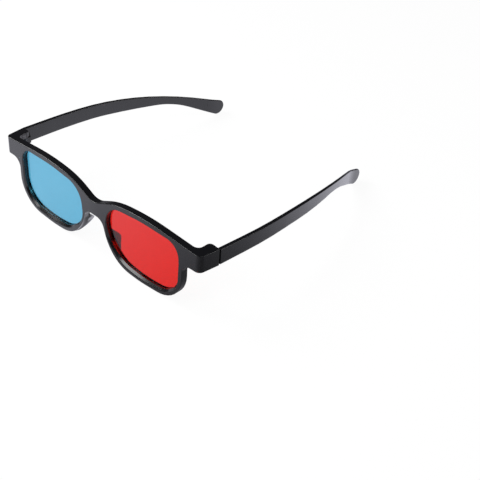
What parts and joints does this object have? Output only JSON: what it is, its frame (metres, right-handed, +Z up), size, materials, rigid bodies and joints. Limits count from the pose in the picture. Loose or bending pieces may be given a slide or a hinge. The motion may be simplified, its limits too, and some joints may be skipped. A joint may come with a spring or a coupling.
{
  "type": "3d glasses",
  "caption": "Rigid red and cyan anaglyph viewing glasses with a moulded front, flat tinted lens sheets, built-in nose pads and folding temples on steel pins.",
  "frame": {"origin": "on the table under the middle of the open pair", "axes": "+X to the wearer's left, where the red lens is, +Y from the front towards the temple tips, +Z up"},
  "size_m": [0.1458, 0.1466, 0.0376],
  "materials": {
    "black_plastic": "injection-moulded black polycarbonate, polished, slightly uneven where the melt flowed",
    "cyan_sheet": "clear cyan-tinted acrylic sheet, polished",
    "red_sheet": "clear red-tinted acrylic sheet, polished",
    "pin_steel": "drawn steel wire, cut ends chamfered"
  },
  "bodies": {
    "front": {"front_frame": "black_plastic", "cyan_lens": "cyan_sheet", "red_lens": "red_sheet", "right_hinge_pin": "pin_steel", "left_hinge_pin": "pin_steel"},
    "left_temple": {"left_temple": "black_plastic"},
    "right_temple": {"right_temple": "black_plastic"}
  },
  "joints": [
    {"name": "left_temple_fold", "type": "hinge", "parent": "front", "child": "left_temple", "pos_m": [0.0679, -0.06159, 0.02988], "axis": [0, 0.0422, 0.9991], "range_deg": [0, 85]},
    {"name": "right_temple_fold", "type": "hinge", "parent": "front", "child": "right_temple", "pos_m": [-0.0679, -0.06159, 0.02988], "axis": [0, -0.0422, -0.9991], "range_deg": [0, 80]}
  ]
}
